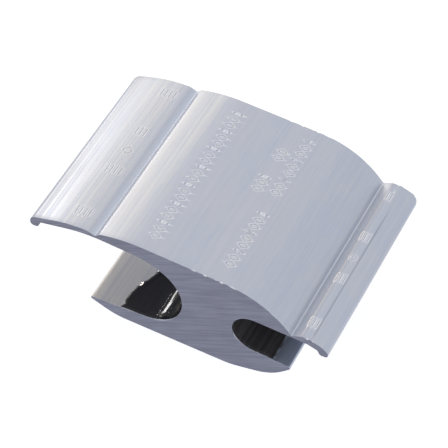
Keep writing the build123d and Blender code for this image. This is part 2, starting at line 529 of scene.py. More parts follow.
class Effects:
    """The effects that several finishes share, each a node group built once."""

    LONG_STREAKS = (1.0, 0.006, 1.0)
    SHORT_STREAKS = (1.0, 0.07, 1.0)
    SAW_STROKES = (0.03, 0.2, 1.0)
    SAW_SLANT = math.radians(30.0)
    PATCHES = (1.0, 0.55, 1.0)

    def __init__(self) -> None:
        """Build every group."""
        self.die_lines = self._die_lines()
        self.saw_marks = self._saw_marks()
        self.handling = self._handling()

    def _die_lines(self) -> bpy.types.NodeTree:
        """Streaks left by the extrusion die, drawn far out along Y, and shorter scratches.

        Returns:
            A group with a broad tone, a fine tone, a tone of short scratches and a height.
        """
        plan = GroupPlan(
            "die_lines",
            inputs=(("Broad", 95.0), ("Fine", 1300.0)),
            outputs=("Broad Tone", "Fine Tone", "Short Tone", "Height"),
        )
        tree, sheet, given, out = plan.start()
        long_place = sheet.object_place(self.LONG_STREAKS)
        short_place = sheet.object_place(self.SHORT_STREAKS)
        scale = given.outputs["Fine"]
        broad = sheet.noise(long_place, given.outputs["Broad"], 2.0, 0.45)
        fine = sheet.noise(long_place, scale, 4.0, 0.6)
        hair = sheet.noise(long_place, sheet.times(scale, 5.0), 3.0, 0.6)
        short = sheet.noise(short_place, sheet.times(scale, 1.6), 3.0, 0.6)
        sheet.put(out.inputs["Broad Tone"], sheet.remap(broad, 0.32, 0.68))
        sheet.put(out.inputs["Fine Tone"], sheet.remap(fine, 0.30, 0.70))
        sheet.put(out.inputs["Short Tone"], sheet.remap(short, 0.35, 0.72))
        sheet.put(out.inputs["Height"], sheet.maths("ADD", sheet.times(fine, 0.6), hair))
        return tree

    def _saw_marks(self) -> bpy.types.NodeTree:
        """Fine parallel lines left by the saw across an end face, at a slant to the base.

        Returns:
            A group with a tone and a height.
        """
        plan = GroupPlan("saw_marks", inputs=(("Pitch", 2600.0),), outputs=("Tone", "Height"))
        tree, sheet, given, out = plan.start()
        place = sheet.object_place(self.SAW_STROKES, self.SAW_SLANT)
        lines = sheet.noise(place, given.outputs["Pitch"], 3.0, 0.55)
        bands = sheet.noise(place, sheet.times(given.outputs["Pitch"], 0.16), 2.0, 0.5)
        both = sheet.maths("ADD", sheet.times(lines, 0.84), sheet.times(bands, 0.16))
        sheet.put(out.inputs["Tone"], sheet.remap(both, 0.36, 0.64))
        sheet.put(out.inputs["Height"], lines)
        return tree

    def _handling(self) -> bpy.types.NodeTree:
        """Faint cloudy patches and small specks from handling and storage.

        Returns:
            A group with a patch mask, a speck mask and a field of grains.
        """
        plan = GroupPlan(
            "handling_marks",
            inputs=(("Patch", 70.0), ("Speck", 620.0)),
            outputs=("Patches", "Specks", "Grains"),
        )
        tree, sheet, given, out = plan.start()
        place = sheet.object_place(self.PATCHES)
        patches = sheet.noise(place, given.outputs["Patch"], 5.0, 0.55)
        specks = sheet.noise(place, given.outputs["Speck"], 2.0, 0.5)
        grains = sheet.noise(place, sheet.times(given.outputs["Speck"], 3.4), 2.0, 0.5)
        sheet.put(out.inputs["Patches"], sheet.remap(patches, 0.35, 0.68))
        sheet.put(out.inputs["Specks"], sheet.remap(specks, 0.70, 0.78))
        sheet.put(out.inputs["Grains"], grains)
        return tree


# ------------------------------------------------------------------------------ finishes


def new_material(name: str) -> tuple[bpy.types.Material, NodeSheet, bpy.types.Node]:
    """Start a material with an empty Principled shader.

    Args:
        name: Name of the material.

    Returns:
        The material, a sheet to draw on and the Principled node.
    """
    material = bpy.data.materials.new(name)
    material.use_nodes = True
    sheet = NodeSheet(material.node_tree)
    return material, sheet, material.node_tree.nodes["Principled BSDF"]


def place_group(sheet: NodeSheet, group: bpy.types.NodeTree, **values: float) -> bpy.types.Node:
    """Place a shared effect in a material with its own values.

    Args:
        sheet: The material's sheet.
        group: The effect.
        **values: Values of the group's inputs, by name.

    Returns:
        The group node.
    """
    node = sheet.add("ShaderNodeGroup", node_tree=group)
    for name, value in values.items():
        node.inputs[name].default_value = value
    return node


def bump(sheet: NodeSheet, height: object, depth: float, under: object = None) -> bpy.types.NodeSocket:
    """Turn a height into a normal.

    Args:
        sheet: The material's sheet.
        height: Height output, 0 to 1.
        depth: Height of 1, in metres.
        under: Normal of a bump below this one.

    Returns:
        The normal's output.
    """
    node = sheet.add("ShaderNodeBump")
    node.inputs["Strength"].default_value = 1.0
    node.inputs["Distance"].default_value = depth
    sheet.put(node.inputs["Height"], height)
    if under is not None:
        sheet.put(node.inputs["Normal"], under)
    return node.outputs["Normal"]


@dataclass(frozen=True)
class ExtrudedAluminium:
    """Satin aluminium as it leaves the die: streaked along Y, bare where rubbed, with painted light, shade
    and highlights laid on.
    """

    roughness: float = 0.34
    metallic: float = 0.9
    line_depth: float = 0.003 * MM

    def make(self, effects: Effects) -> bpy.types.Material:
        """Build the material."""
        material, sheet, shader = new_material("extruded_aluminium")
        lines = place_group(sheet, effects.die_lines)
        marks = place_group(sheet, effects.handling)
        fine, patches = lines.outputs["Fine Tone"], marks.outputs["Patches"]
        rubbed_and_highlight = sheet.stored("rubbed_and_highlight")
        fibres = sheet.remap(fine, 0.0, 1.0, 0.72, 1.0)
        layers = (
            (sheet.times(lines.outputs["Broad Tone"], 0.6), Tone.ALUMINIUM_COOL),
            (sheet.times(patches, 0.40), Tone.ALUMINIUM_WARM),
            (sheet.times(fine, 0.46), Tone.ALUMINIUM_COOL),
            (sheet.times(lines.outputs["Short Tone"], 0.42), Tone.ALUMINIUM_WARM),
            # Painted warm light, painted cool light, painted shade and painted highlights, in that order.
            (sheet.times(sheet.stored("painted_warm_light"), fibres), Tone.BRUSHED),
            (sheet.times(sheet.stored("painted_cool_light"), fibres), Tone.SLID),
            (sheet.times(sheet.stored("stamped"), 0.75, clamp=True), Tone.STAMP_SHADE),
            (sheet.times(rubbed_and_highlight, 0.85, clamp=True), Tone.BRIGHT_EDGE),
        )
        sheet.put(shader.inputs["Base Color"], sheet.layered(Tone.ALUMINIUM, layers))

        rough = sheet.remap(fine, 0.0, 1.0, self.roughness - 0.05, self.roughness + 0.07)
        rough = sheet.maths("ADD", rough, sheet.times(patches, 0.05))
        rough = sheet.maths("SUBTRACT", rough, sheet.times(rubbed_and_highlight, 0.15), clamp=True)
        sheet.put(shader.inputs["Roughness"], rough)
        shader.inputs["Metallic"].default_value = self.metallic
        sheet.put(shader.inputs["Normal"], bump(sheet, lines.outputs["Height"], self.line_depth))
        return material


@dataclass(frozen=True)
class SawnAluminium:
    """The matt face that the saw leaves at each end, darker partly from its finish and partly as painted
    shade.
    """

    roughness: float = 0.55
    metallic: float = 0.8
    line_depth: float = 0.006 * MM
    patch_scale: float = 110.0

    def make(self, effects: Effects) -> bpy.types.Material:
        """Build the material."""
        material, sheet, shader = new_material("sawn_aluminium")
        lines = place_group(sheet, effects.saw_marks)
        marks = place_group(sheet, effects.handling, Patch=self.patch_scale)
        layers = (
            (sheet.times(lines.outputs["Tone"], 0.38), Tone.SAWN_DARK),
            (sheet.times(marks.outputs["Patches"], 0.25), Tone.SAWN_DARK),
            (sheet.times(marks.outputs["Specks"], 0.35), Tone.STAMP_SHADE),
        )
        sheet.put(shader.inputs["Base Color"], sheet.layered(Tone.SAWN, layers))
        rough = sheet.remap(lines.outputs["Tone"], 0.0, 1.0, self.roughness - 0.06, self.roughness + 0.08)
        sheet.put(shader.inputs["Roughness"], rough)
        shader.inputs["Metallic"].default_value = self.metallic
        sheet.put(shader.inputs["Normal"], bump(sheet, lines.outputs["Height"], self.line_depth))
        return material


@dataclass(frozen=True)
class JointingCompound:
    """Black, sticky, wet-looking paste, drawn out in streaks along Y, with painted shade where drawn out
    and grit that is partly painted highlight.
    """

    roughness: float = 0.06
    refraction: float = 1.42
    streak_depth: float = 0.004 * MM
    speck_depth: float = 0.01 * MM

    def make(self, effects: Effects) -> bpy.types.Material:
        """Build the material."""
        material, sheet, shader = new_material("jointing_compound")
        lines = place_group(sheet, effects.die_lines, Broad=260.0, Fine=1300.0)
        marks = place_group(sheet, effects.handling, Patch=240.0, Speck=900.0)
        thin, drawn, grit_and_highlight = sheet.stored("thin"), sheet.stored("drawn"), sheet.stored("grit_and_highlight")
        # Grit specks, partly a painted highlight where the paste sparkles.
        grit = sheet.remap(sheet.times(grit_and_highlight, marks.outputs["Grains"]), 0.48, 0.58)
        grey = sheet.times(lines.outputs["Fine Tone"], thin)
        layers = (
            # Painted shade on the directly lit stretch where the paste is drawn out.
            (drawn, Tone.COMPOUND_DEEP),
            (sheet.times(grey, 0.5, clamp=True), Tone.COMPOUND_GREY),
            (grit, Tone.GRIT),
        )
        sheet.put(shader.inputs["Base Color"], sheet.layered(Tone.COMPOUND, layers))
        sheet.put(shader.inputs["Specular Tint"], Tone.WET_GLEAM)

        rough = sheet.remap(marks.outputs["Patches"], 0.0, 1.0, self.roughness, self.roughness + 0.03)
        rough = sheet.maths("ADD", rough, sheet.times(thin, 0.05))
        rough = sheet.maths("ADD", rough, sheet.times(grit, 0.22))
        sheet.put(shader.inputs["Roughness"], rough)
        metallic = sheet.times(grit, sheet.remap(grit_and_highlight, 1.1, 1.4, 0.3, 1.0))
        sheet.put(shader.inputs["Metallic"], metallic)
        shader.inputs["IOR"].default_value = self.refraction
        dimmed = sheet.maths("MAXIMUM", drawn, thin)
        sheet.put(shader.inputs["Specular IOR Level"], sheet.remap(dimmed, 0.0, 1.0, 0.26, 0.05))
        streaks = bump(sheet, lines.outputs["Broad Tone"], self.streak_depth)
        specks = bump(sheet, marks.outputs["Specks"], self.speck_depth, streaks)
        sheet.put(shader.inputs["Normal"], specks)
        return material


# ------------------------------------------------------------------------------ stamped marks


class Mark(Enum):
    """Shapes that the stamps leave."""

    STROKE = "stroke"
    RING = "ring"
    LOZENGE = "lozenge"


@dataclass(frozen=True)
class Stamp:
    """One stamped mark on the top of the connector, so long along Y and so broad along X."""

    shape: Mark
    x: float
    y: float
    length: float
    breadth: float = 0.0
    depth: float = 0.08 * MM
    half_width: float = 0.13 * MM
    # Share of painted highlight on the burrs.
    shine: float = 0.15

    def distance(self, x: np.ndarray, y: np.ndarray) -> np.ndarray:
        """Distance to the mark's centre line.

        A stroke is a straight line along Y.  A ring is an ellipse and a lozenge four straight
        sides; with q their size relative to the full mark at a point, the distance is about
        |q - 1| times the mean half size.

        Args:
            x: X of the surface points.
            y: Y of the surface points.

        Returns:
            The distance, in metres.
        """
        across, along = x - self.x, y - self.y
        if self.shape is Mark.STROKE:
            return np.hypot(across, np.maximum(np.abs(along) - self.length / 2.0, 0.0))
        q_across, q_along = 2.0 * np.abs(across) / self.breadth, 2.0 * np.abs(along) / self.length
        if self.shape is Mark.RING:
            return np.abs(np.hypot(q_across, q_along) - 1.0) * (self.length + self.breadth) / 4.0
        slant = self.length * self.breadth / math.hypot(self.length, self.breadth) / 2.0
        return np.abs(q_across + q_along - 1.0) * slant

    def relief(self, x: np.ndarray, y: np.ndarray) -> np.ndarray:
        """Height of the surface near the mark.

        With r the distance to the centre line and w its half width, the height is
        -depth * exp(-(r / w)^2) + 0.45 * depth * exp(-((r - 2 w) / w)^2): a rounded furrow
        with a low burr on both sides.

        Args:
            x: X of the surface points.
            y: Y of the surface points.

        Returns:
            Height along the surface normal, in metres.
        """
        away = self.distance(x, y)
        furrow = np.exp(-((away / self.half_width) ** 2))
        burr = np.exp(-(((away - 2.0 * self.half_width) / self.half_width) ** 2))
        return self.depth * (0.45 * burr - furrow)


@dataclass(frozen=True)
class StampRow:
    """A row of stamped marks along Y: lozenges, with a narrow ring at every third place."""

    x: float
    start: float
    end: float
    pitch: float = 2.45 * MM
    length: float = 1.70 * MM
    breadth: float = 2.5 * MM
    ring_share: float = 0.35
    sway: float = 0.13 * MM
    depth: float = 0.09 * MM
    # Share of painted highlight on the burrs.
    shine: float = 0.7

    def stamps(self) -> list[Stamp]:
        """The row's marks, evenly spaced along Y and swaying a little across it.

        Returns:
            The stamps, in the order of their places.
        """
        count = int(round((self.end - self.start) / self.pitch)) + 1
        made = []
        for number, place in enumerate(np.linspace(self.start, self.end, count)):
            is_ring = number % 3 == 2
            made.append(
                Stamp(
                    shape=Mark.RING if is_ring else Mark.LOZENGE,
                    x=self.x + self.sway * math.sin(5.0 * number + 400.0 * self.x),
                    y=float(place),
                    length=self.length * (self.ring_share if is_ring else 1.0),
                    breadth=self.breadth,
                    depth=self.depth,
                    shine=self.shine,
                )
            )
        return made


@dataclass(frozen=True)
class Tab:
    """The stamped marks of one edge tab."""

    centre_x: float
    strokes: tuple[int, ...]
    middle: Mark
    middle_size: float
    # Share of painted highlight on the burrs.
    shine: float = 0.1
    stroke_length: float = 2.9 * MM
    pitch: float = 1.28 * MM
    bands: tuple[float, ...] = (24.6 * MM, 8.4 * MM, -7.4 * MM, -23.6 * MM)
    middle_y: float = 0.5 * MM
    sway: float = 0.12 * MM

    def stamps(self) -> list[Stamp]:
        """Groups of parallel strokes in four bands, with one closed mark in the middle.

        Returns:
            The stamps, in the order of the bands.
        """
        made = []
        for band, count in zip(self.bands, self.strokes):
            offsets = (np.arange(count) - (count - 1) / 2.0) * self.pitch
            for number, offset in enumerate(offsets):
                sway = self.sway * math.sin(7.0 * number + 900.0 * band)
                place = (self.centre_x + float(offset), band + sway)
                made.append(Stamp(Mark.STROKE, *place, self.stroke_length, shine=self.shine))
        size = self.middle_size
        made.append(Stamp(self.middle, self.centre_x, self.middle_y, size, size, shine=self.shine))
        return made


# ------------------------------------------------------------------------------ the body


@dataclass(frozen=True)
class Band:
    """A band of painted light and shade, the same all along Y."""

    x: float
    width: float
    strength: float

    def share(self, x: np.ndarray) -> np.ndarray:
        """How strong the band is at each X: strength * exp(-((x - x0) / width)^2)."""
        return self.strength * np.exp(-(((x - self.x) / self.width) ** 2))


@dataclass
class ClampBody:
    """The aluminium extrusion: its skin, broken end corners, stamps, scored line, wear, and painted light
    and shade.
    """

    outline: Outline
    half_length: float
    tabs: tuple[Tab, ...]
    rows: tuple[StampRow, ...]

    # The scored line along Y.
    score_x: float
    score_width: float = 0.15 * MM
    score_depth: float = 0.10 * MM
    score_sway: float = 0.10 * MM
    score_ends: tuple[float, float] = (-29.0 * MM, 23.5 * MM)
    score_fades: tuple[float, float] = (2.0 * MM, 12.0 * MM)

    # Broken corners round both end faces, nicked over these stretches of X on cap and tap tab.
    corner_break: float = 0.035 * MM
    nick: float = 0.24 * MM
    nicked: tuple[tuple[float, float], ...] = (
        (1.8 * MM, 18.3 * MM),
        (26.3 * MM, 29.2 * MM),
        (36.5 * MM, 40.2 * MM),
    )

    # Radii between which a broken corner comes to show bare rubbed metal with a painted highlight.
    bare_corner: tuple[float, float] = (0.045 * MM, 0.11 * MM)

    # Radius in plan of the worn far corners of the main tab and the tap tab.
    worn_corners: tuple[float, float] = (2.3 * MM, 1.5 * MM)

    # Faces of the two jaws, by X and Z.  Both lie below their Z; the main jaw's lies at lower X
    # than its bound and the tap jaw's at higher X.
    main_jaw: tuple[float, float] = (-12.0 * MM, 12.0 * MM)
    tap_jaw: tuple[float, float] = (21.0 * MM, 12.5 * MM)
    # The main jaw darkens towards its tip, over the width below and by the share after it.
    jaw_edge: float = 0.6 * MM
    jaw_edge_darkening: float = 0.8

    # Painted light and shade along cap and tabs: painted shade darkens the main tab from the first X
    # to the second, and of the narrow bands at and beside the notches, one is a painted shadow of the
    # crown, one a painted highlight line and two a painted cool light.
    tab_edge_shade_span: tuple[float, float] = (-39.6 * MM, -42.2 * MM)
    tab_edge_shade: float = 0.5
    shaded: Band = Band(36.25 * MM, 0.6 * MM, 0.5)
    notch_highlight: Band = Band(-23.3 * MM, 0.45 * MM, 0.5)
    notch_cool_light: tuple[Band, ...] = (Band(-24.2 * MM, 0.7 * MM, 0.55), Band(34.8 * MM, 0.8 * MM, 0.35))

    # The mesh.
    cap_share: float = 0.6
    corner_rows: int = 4
    turn_per_column: float = 0.12
    finest_column: float = 0.10 * MM
    fine_column: float = 0.17 * MM
    coarse_column: float = 1.6 * MM
    fine_row: float = 0.28 * MM
    coarse_row: float = 1.6 * MM
    stamp_margin: float = 0.45 * MM
    score_margin: float = 0.5 * MM
    stamps: list[Stamp] = field(default_factory=list)

    def __post_init__(self) -> None:
        """Collect the stamps of the tabs and rows."""
        self.stamps = [stamp for source in (*self.tabs, *self.rows) for stamp in source.stamps()]

    def on_cap(self, z: np.ndarray) -> np.ndarray:
        """Whether each Z is high enough to be on the cap or a tab."""
        return z > self.cap_share * z.max()

    def column_spacing(self) -> np.ndarray:
        """Wanted column width along the outline: fine at stamps and in tight curves.

        Returns:
            One spacing per outline point, in metres.
        """
        x, z = self.outline.points.T
        turning = self.turn_per_column / np.maximum(self.outline.bends, 1.0)
        spacing = np.clip(turning, self.finest_column, self.coarse_column)
        on_top = (self.outline.normals[:, 1] > 0.55) & self.on_cap(z)
        stamped = np.abs(x - self.score_x) < self.score_margin
        for stamp in self.stamps:
            stamped |= np.abs(x - stamp.x) < stamp.breadth / 2.0 + self.stamp_margin
        return np.where(stamped & on_top, np.minimum(spacing, self.fine_column), spacing)

    def row_places(self) -> np.ndarray:
        """Y of the rows between the broken corners: fine at the stamps, coarse elsewhere.

        Returns:
            Increasing places, in metres.
        """
        samples = 4001
        end = self.half_length - self.corner_break
        fine_y = np.linspace(-end, end, samples)
        spacing = np.full(samples, self.coarse_row)
        for stamp in self.stamps:
            near = np.abs(fine_y - stamp.y) < stamp.length / 2.0 + self.stamp_margin
            spacing[near] = self.fine_row
        share = np.concatenate([[0.0], np.cumsum(np.diff(fine_y) / spacing[1:])])
        return np.interp(np.linspace(0.0, share[-1], int(share[-1]) + 1), share, fine_y)

    def corner_radius(self, x: np.ndarray, z: np.ndarray) -> np.ndarray:
        """Radius of the broken end corners: small, with a few worn nicks on the cap's edge.

        Args:
            x: X of the columns.
            z: Z of the columns.

        Returns:
            One radius per column, in metres.
        """
        ripple = Ripple(SEED, (1.2 * MM, 5 * MM), (1.0, 2.0)).height(x, z)
        worn = sum(ease(x, start, start + MM) * ease(x, end, end - MM) for start, end in self.nicked)
        worn = worn * self.on_cap(z) * ease(ripple, 0.0, 0.9)
        return self.corner_break * (1.0 + 0.3 * ripple).clip(0.4, 1.8) + self.nick * worn

    def rows_along(self, x: np.ndarray, radius: np.ndarray) -> tuple[np.ndarray, np.ndarray]:
        """Place every row of the skin along Y, round the broken corner at each end.

        At the corners the rows follow a quarter circle of the column's own radius.  Far
        corners of the tabs are worn round in plan: the columns there end short, by
        r - sqrt(r^2 - d^2), with r the corner's radius and d 0.98 of the distance into it, so
        that the curve stops just short of square to the tab's edge.

        Args:
            x: X of the columns.
            radius: Radius of the broken corner at each column.

        Returns:
            Y of every vertex, and how far each row has sunk into the corner, from 0 to 1.
        """
        rows = self.row_places()
        arc = np.linspace(0.0, np.pi / 2.0, self.corner_rows + 1)[1:]
        flat = self.half_length - radius
        worn = np.where(x < 0.0, *self.worn_corners)
        beyond = 0.98 * np.clip(np.abs(x) - (np.abs(x).max() - worn), 0.0, worn)
        pulled = worn - np.sqrt(worn**2 - beyond**2)
        share = (rows[:, None] / rows[-1] + 1.0) / 2.0
        middle = share * (2.0 * flat - pulled) - flat
        corner = flat + np.sin(arc)[:, None] * radius
        y = np.concatenate([-corner[::-1], middle, corner - pulled])
        sunk = 1.0 - np.cos(arc)
        return y, np.concatenate([sunk[::-1], np.zeros(len(rows)), sunk])

    def score(self, x: np.ndarray, y: np.ndarray) -> np.ndarray:
        """Height of the scored line, a shallow furrow along Y that fades at both ends."""
        (start, end), (near_fade, far_fade) = self.score_ends, self.score_fades
        sway = self.score_sway * np.sin(y * 55.0)
        across = np.exp(-(((x - self.score_x - sway) / self.score_width) ** 2))
        along = ease(y, start, start + near_fade) * ease(y, end, end - far_fade)
        return -self.score_depth * across * along

    def relief(self, x: np.ndarray, y: np.ndarray, on_top: np.ndarray) -> tuple[np.ndarray, np.ndarray]:
        """Height of all stamps and the scored line on the top of the cap.

        Args:
            x: X of the surface points.
            y: Y of the surface points.
            on_top: 1 where the surface faces up on the cap, 0 elsewhere.

        Returns:
            Height along the surface normal, in metres, and the painted highlight on the burrs.
        """
        height = self.score(x, y)
        burr_highlight = np.zeros_like(height)
        for stamp in self.stamps:
            struck = stamp.relief(x, y)
            height = height + struck
            # Painted highlight on each stamp's burrs.
            burr_highlight = np.maximum(burr_highlight, stamp.shine * np.clip(struck / (0.4 * stamp.depth), 0.0, 1.0))
        return height * on_top, burr_highlight * on_top

    def column_marks(self, x: np.ndarray, z: np.ndarray, up: np.ndarray) -> dict[str, np.ndarray]:
        """Wear, painted light and painted shade that are the same all along Y, for the finish to read.

        Args:
            x: X of the columns.
            z: Z of the columns.
            up: Z of the columns' normals.

        Returns:
            One value per column for each kind of wear and painted light.
        """
        on_cap = self.on_cap(z)
        on_top = ease(up, 0.35, 0.6) * on_cap
        facing_up = ease(up, 0.4, 0.9)
        below = z < self.main_jaw[1]
        tip = x[below].min()
        # Darker towards the main jaw's tip.
        tip_darkening = self.jaw_edge_darkening * below * ease(x, tip + self.jaw_edge, tip)
        # Painted shade on the main tab's outer edge, and a painted shadow of the crown on the shaded band.
        dimmed = self.tab_edge_shade * ease(x, *self.tab_edge_shade_span) + self.shaded.share(x)
        # Painted cool light on the tap jaw's face.
        tap_face = facing_up * (x > self.tap_jaw[0]) * (z < self.tap_jaw[1])
        # Painted cool light in both notches.
        notches = sum(band.share(x) for band in self.notch_cool_light)
        # Painted highlight along the notch, painted shade with darkening at the jaw tip, painted cool
        # light, and painted warm light.
        return {
            "rubbed_and_highlight": self.notch_highlight.share(x) * on_cap * ease(up, 0.1, 0.5),
            "stamped": on_top * dimmed + tip_darkening,
            "painted_cool_light": tap_face + on_cap * (up > 0.1) * notches,
            "painted_warm_light": facing_up * (x < self.main_jaw[0]) * below,
        }

    def build(self) -> bpy.types.Object:
        """Build the skin.

        It is the outline swept along Y and raised by relief(u, v) - sink(v) * radius(u), so
        each end corner is broken by a radius that wanders a little round the end face, as a
        deburring pass leaves it.

        Returns:
            The body's object.
        """
        points, normals = self.outline.thinned(self.column_spacing())
        (x, z), up = points.T, normals[:, 1]
        radius = self.corner_radius(x, z)
        y, sink = self.rows_along(x, radius)
        on_top = ease(up, 0.35, 0.6) * self.on_cap(z)
        relief, burr_highlight = self.relief(x[None, :], y, on_top[None, :])
        skin = lifted(points, normals, y, relief - sink[:, None] * radius)
        body = grid_object("clamp_body_skin", skin[::-1], closed_u=True, caps=True)

        marks = self.column_marks(x, z, up)
        # Broken corners show bare rubbed metal brightened as a painted highlight, and burrs a painted
        # highlight.
        corner = np.clip(2.5 * sink, 0.0, 1.0)[:, None] * ease(radius, *self.bare_corner)
        marks["rubbed_and_highlight"] = np.maximum(np.maximum(corner, burr_highlight), marks["rubbed_and_highlight"])
        # Painted shade in the stamps' furrows.
        struck = np.clip(-relief / Stamp.depth, 0.0, 1.0)
        marks["stamped"] = np.maximum(struck, marks["stamped"])
        for name, values in marks.items():
            set_point_values(body, name, np.broadcast_to(values, relief.shape)[::-1])
        return body

    def dress(self, body: bpy.types.Object, skin: bpy.types.Material, sawn: bpy.types.Material) -> None:
        """Give the sides the extruded finish and both caps the sawn one.

        Args:
            body: The body's object.
            skin: Finish of the extruded sides.
            sawn: Finish of the end faces.
        """
        body.data.materials.append(skin)
        body.data.materials.append(sawn)
        slots = np.zeros(len(body.data.polygons), np.int32)
        slots[-2:] = 1
        body.data.polygons.foreach_set("material_index", slots)


# ------------------------------------------------------------------------------ the compound


@dataclass(frozen=True)
class Drop:
    """A swelling of the coat's beaded edge at one Y."""

    y: float
    gain: float
    reach: float = 1.3 * MM


@dataclass(frozen=True)
class Facet:
    """A flat, tilted patch of the beaded edge at one Y, which catches the light and bears a painted
    highlight.

    It rises from the coat's edge by its slope up to its top, and fades into the coat between
    its two inner ends, which are distances in from that edge.
    """

    y: float
    reach: float
    slope: float = 0.5
    top: float = 0.42 * MM
    rim: float = 0.01 * MM
    inner_ends: tuple[float, float] = (2.4 * MM, 1.4 * MM)
    # Share of painted highlight on the sloping face.
    painted_highlight: float = 1.3


@dataclass(frozen=True)
class GritStreak:
    """A streak of grit, partly a painted highlight, from one Y to another, on the wall nearest a place in
    the section.
    """

    x: float
    z: float
    start: float
    end: float
    spread: float


@dataclass
class CompoundCoat:
    """A coat of jointing compound on a groove's wall, with a beaded edge."""

    name: str
    outline: Outline
    start: tuple[float, float]
    end: tuple[float, float]
    half_length: float
    seed: int
    thickness: float = 0.46 * MM
    bead: float = 0.9 * MM
    edges: tuple[tuple[float, float], ...] = ((-1.0, 0.0), (1.0, 0.0))
    drops: tuple[Drop, ...] = ()
    facets: tuple[Facet, ...] = ()
    grits: tuple[GritStreak, ...] = ()
    drawn_from: tuple[float, float] | None = None
    drawn_sway: float = 0.25 * MM
    drawn_fade: tuple[float, float] = (0.6 * MM, 1.6 * MM)
    paleness: float = 0.0
    wander: float = 0.13 * MM
    buried: float = 0.06 * MM
    column: float = 0.18 * MM
    row: float = 0.36 * MM

    def wall(self) -> tuple[np.ndarray, np.ndarray, np.ndarray]:
        """The stretch of the outline that the coat lies on.

        Returns:
            Its points, their normals and their distance along the wall.
        """
        first, last = self.outline.nearest(*self.start), self.outline.nearest(*self.end)
        size = len(self.outline.points)
        index = (first + np.arange((last - first) % size + 1)) % size
        along = np.arange(len(index)) * self.outline.step
        wanted = np.linspace(0.0, along[-1], int(round(along[-1] / self.column)) + 1)
        points, normals = (
            sampled(wanted, along, values[index]) for values in (self.outline.points, self.outline.normals)
        )
        return points, unit(normals), wanted

    def margin(self, y: np.ndarray, which: int) -> np.ndarray:
        """How far the coat's edge stands in from its full width, along Y.

        At the wall's end it runs straight between the given knots, which are shares of the
        half length and distances in metres.  A ripple wanders about it at both edges.

        Args:
            y: Places along Y.
            which: 0 for the start of the wall, 1 for its end.

        Returns:
            The margin, in metres.
        """
        share, inset = np.array(self.edges).T
        knots = np.interp(y / self.half_length, share, inset)
        ripple = Ripple(self.seed + which, (2.2 * MM, 9 * MM), (1.0, 2.0)).height(y, np.zeros_like(y))
        return knots * (which == 1) + self.wander * (1.6 + ripple)

    def face_margin(self, s: np.ndarray) -> np.ndarray:
        """How far the bead's foot stands in from both ends of the coat, along the wall."""
        least, swing = 0.02 * MM, 0.05 * MM
        ripple = Ripple(self.seed + 5, (2 * MM, 7 * MM), (1.0, 2.0)).height(s, np.zeros_like(s))
        return least + swing * (1.0 + ripple)

    def drawn_out(self, points: np.ndarray, s: np.ndarray, y: np.ndarray) -> np.ndarray:
        """Where the paste is drawn out in streaks: 1 before a swaying line along Y, 0 after it.

        Args:
            points: Points of the wall.
            s: Distance along the wall.
            y: Places along Y, one per row.

        Returns:
            The share over the grid.
        """
        if self.drawn_from is None:
            return np.zeros((len(y), len(s)))
        line = self.distance_at(points, s, *self.drawn_from)
        line = line + self.drawn_sway * np.sin(y[:, None] * 420.0)
        return ease(s[None, :], *(line - reach for reach in self.drawn_fade))

    @staticmethod
    def distance_at(points: np.ndarray, s: np.ndarray, x: float, z: float) -> float:
        """Distance along the wall of its point nearest to a place in the section."""
        return s[np.argmin(np.hypot(points[:, 0] - x, points[:, 1] - z))]

    def heights(
        self, points: np.ndarray, s: np.ndarray, y: np.ndarray
    ) -> tuple[np.ndarray, dict[str, np.ndarray]]:
        """Thickness of the coat over its wall.

        It rises from the bare wall over a quarter-round bead, stands highest just behind it
        and is thinner further in, with long streaks where the paste is drawn out.  Drops
        swell the bead, and facets cut across it.

        Args:
            points: Points of the wall.
            s: Distance along the wall.
            y: Places along Y, one per row.

        Returns:
            Thickness, in metres and below zero on the bare wall, and the values that the
            finish reads: how thin the coat is, how far drawn out, which the finish darkens as painted
            shade, and how much grit and painted highlight shows.
        """
        grid_y, grid_s = y[:, None], s[None, :]
        from_start = grid_s - self.margin(y, 0)[:, None]
        from_end = s[-1] - grid_s - self.margin(y, 1)[:, None]
        from_face = self.half_length - np.abs(grid_y) - self.face_margin(s)
        inside = np.minimum(np.minimum(from_start, from_end), from_face)
        t = np.clip(inside / self.bead, 0.0, 1.0)
        rise = np.sqrt(np.clip(1.0 - (1.0 - t) ** 2, 0.0, 1.0))
        crest = np.exp(-(((inside - 0.8 * self.bead) / (0.9 * self.bead)) ** 2))
        streaks = Ripple(self.seed + 2, (0.9 * MM, 3.2 * MM), (26 * MM, 90 * MM), 16).height(grid_s, grid_y)
        lumps = Ripple(self.seed + 3, (5 * MM, 12 * MM), (8 * MM, 24 * MM), 10).height(grid_s, grid_y)
        drawn = self.drawn_out(points, s, y)
        level = 0.66 + 0.26 * crest + 0.015 * lumps + (0.002 + 0.05 * drawn) * streaks
        at_edge = np.exp(-(((from_end - self.bead) / self.bead) ** 2))
        for drop in self.drops:
            level = level + drop.gain * at_edge * np.exp(-(((grid_y - drop.y) / drop.reach) ** 2))
        height = np.where(inside > 0.0, self.thickness * rise * level.clip(0.25, 1.9), -self.buried)

        # Grit along the streaks, partly a painted highlight where the paste sparkles.
        grit_and_highlight = np.zeros_like(inside)
        for grit in self.grits:
            middle = self.distance_at(points, s, grit.x, grit.z)
            along = ease(grid_y, grit.start - MM, grit.start) * ease(grid_y, grit.end + MM, grit.end)
            grit_and_highlight = np.maximum(grit_and_highlight, along * np.exp(-(((grid_s - middle) / grit.spread) ** 2)))
        for facet in self.facets:
            edge = s[-1] - self.margin(np.array([facet.y]), 1)[0]
            plane = np.clip(facet.slope * (edge - grid_s), -self.buried, facet.top)
            along = np.exp(-(((grid_y - facet.y) / facet.reach) ** 6))
            near = along * ease(grid_s, *(edge - end for end in facet.inner_ends))
            height = height + near * (plane - height)
